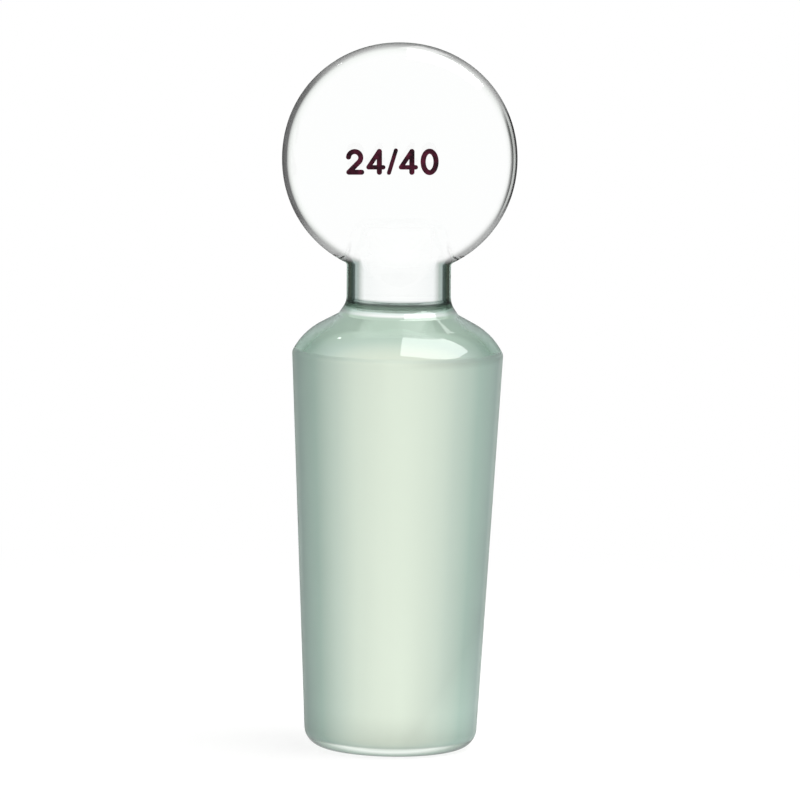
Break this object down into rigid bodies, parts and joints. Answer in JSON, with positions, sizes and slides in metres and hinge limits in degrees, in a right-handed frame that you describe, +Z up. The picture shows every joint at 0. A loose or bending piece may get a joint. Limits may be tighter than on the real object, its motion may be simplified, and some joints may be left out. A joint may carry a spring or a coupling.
{
  "type": "glass stopper",
  "caption": "Solid glass stopper: flat round head on a short round neck, clear shoulder and a long ground cone with a 1:10 taper.",
  "frame": {"origin": "centre of the foot's flat underside, on the surface the stopper stands on", "axes": "+Z up the axis of the ground cone from the foot to the head; the head's two flat faces look along -Y and +Y, and the print is on the -Y face"},
  "size_m": [0.0268, 0.0242, 0.0812],
  "materials": {
    "glass": "clear fire-polished borosilicate glass, ground matt on the cone"
  },
  "bodies": {
    "root": {"stopper": "glass"}
  },
  "joints": []
}
